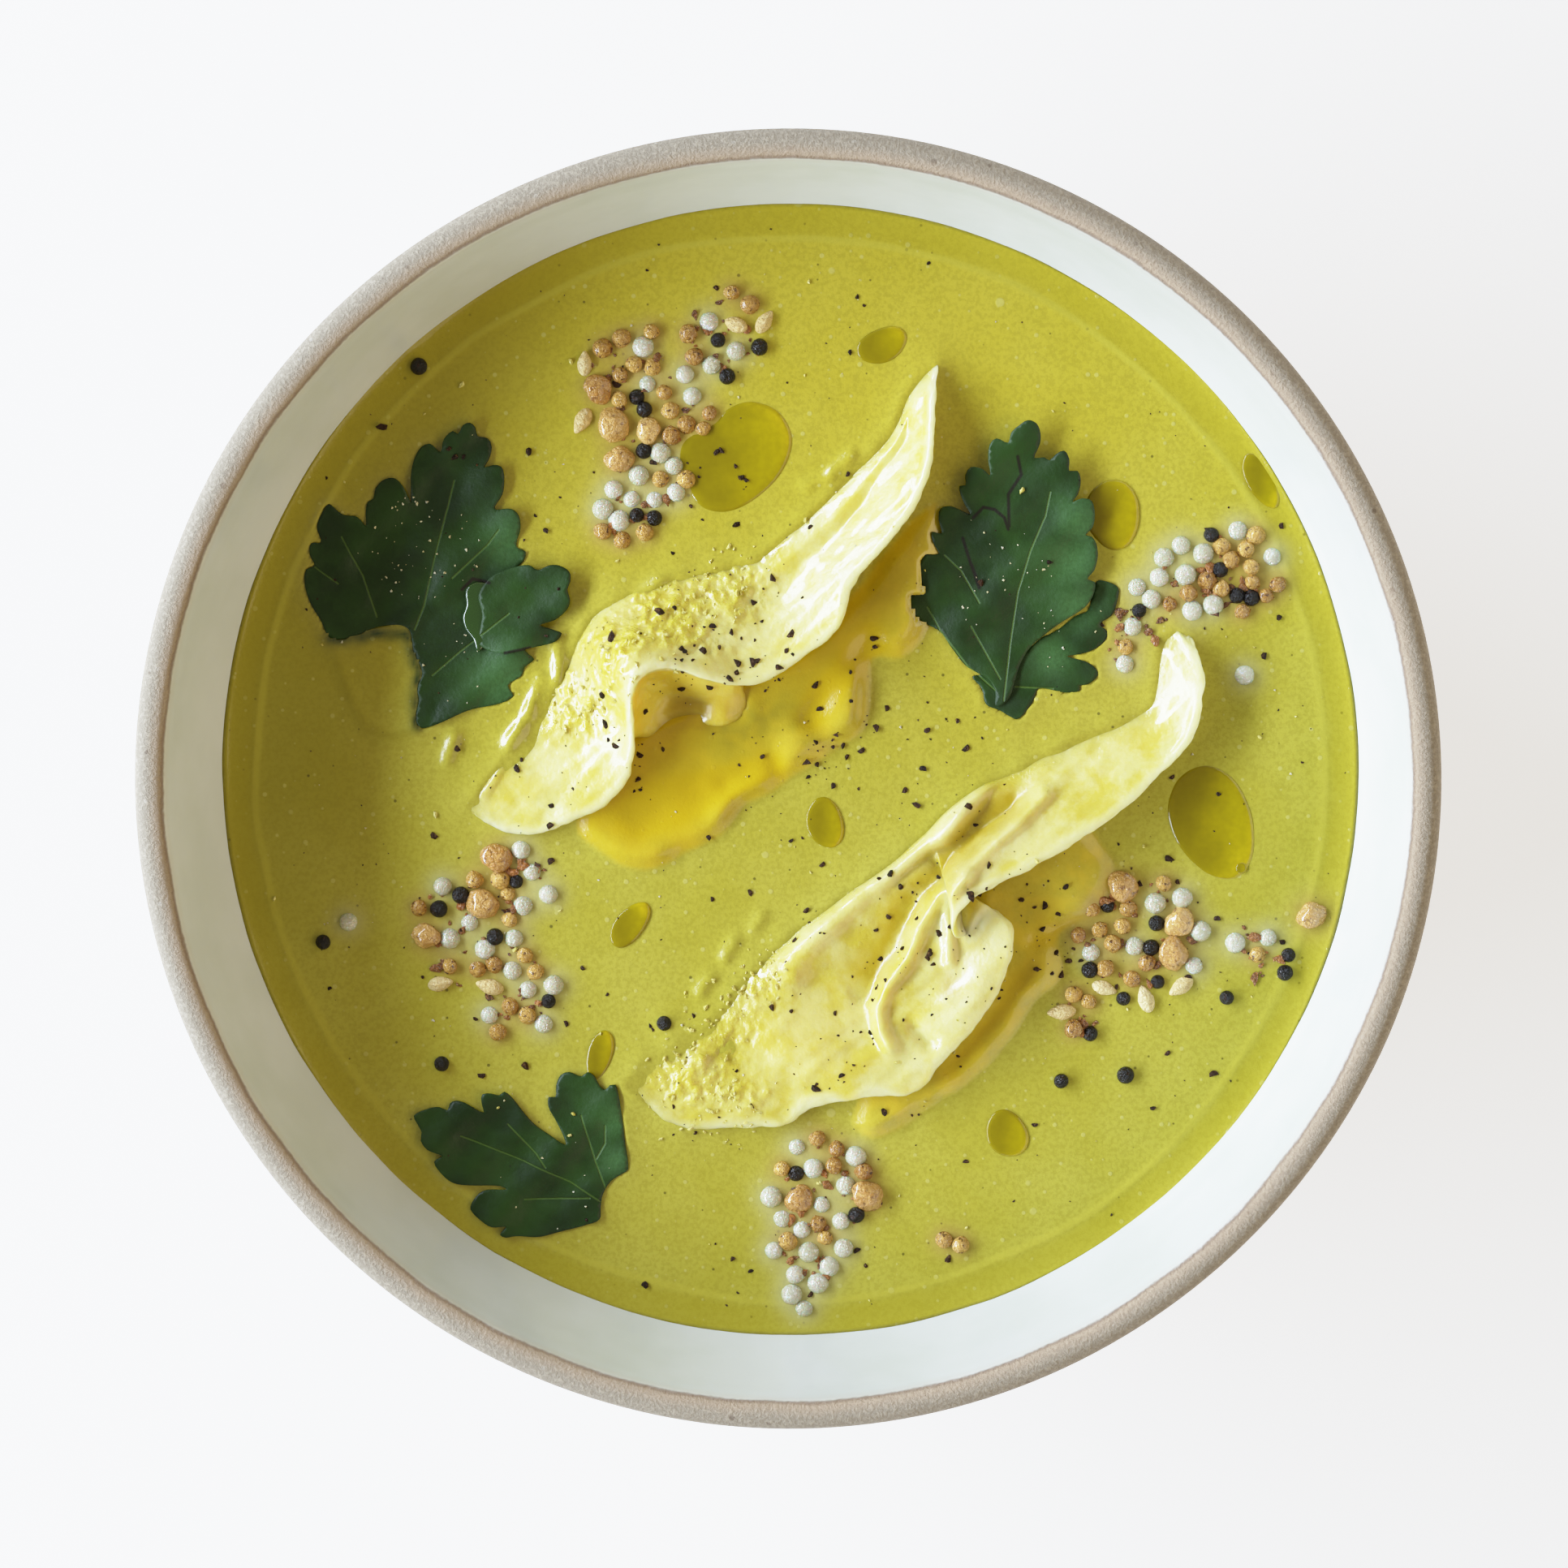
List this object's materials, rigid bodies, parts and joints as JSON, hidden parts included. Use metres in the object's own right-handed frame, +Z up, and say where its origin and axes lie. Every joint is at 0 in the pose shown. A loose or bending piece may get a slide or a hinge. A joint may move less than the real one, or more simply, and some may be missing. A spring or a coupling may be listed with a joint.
{
  "type": "bowl of asparagus dumplings",
  "caption": "Footed stoneware bowl of green asparagus soup with half-moon dumplings, parsley leaves, pearls, toasted grains and mustard seeds.",
  "frame": {"origin": "centre of the underside of the bowl's foot ring", "axes": "+Z up, +X to the right and +Y to the far side as the bowl is seen from above"},
  "size_m": [0.17, 0.17, 0.061],
  "materials": {
    "stoneware": "pale glossy glaze inside, bare matte speckled clay on the rim band, satin outside",
    "soup": "smooth yellow-green soup with oil drops, pearls and toasted grains on it",
    "dough": "wet boiled dough, cream at its edges and yellow where soup clings to it",
    "parsley": "dark green leaf with pale veins, some of it wet"
  },
  "bodies": {
    "root": {"bowl": "stoneware", "soup": "soup", "dumpling_1": "dough", "dumpling_2": "dough", "parsley_leaf_1": "parsley", "parsley_leaf_2": "parsley", "parsley_leaf_3": "parsley"}
  },
  "joints": []
}
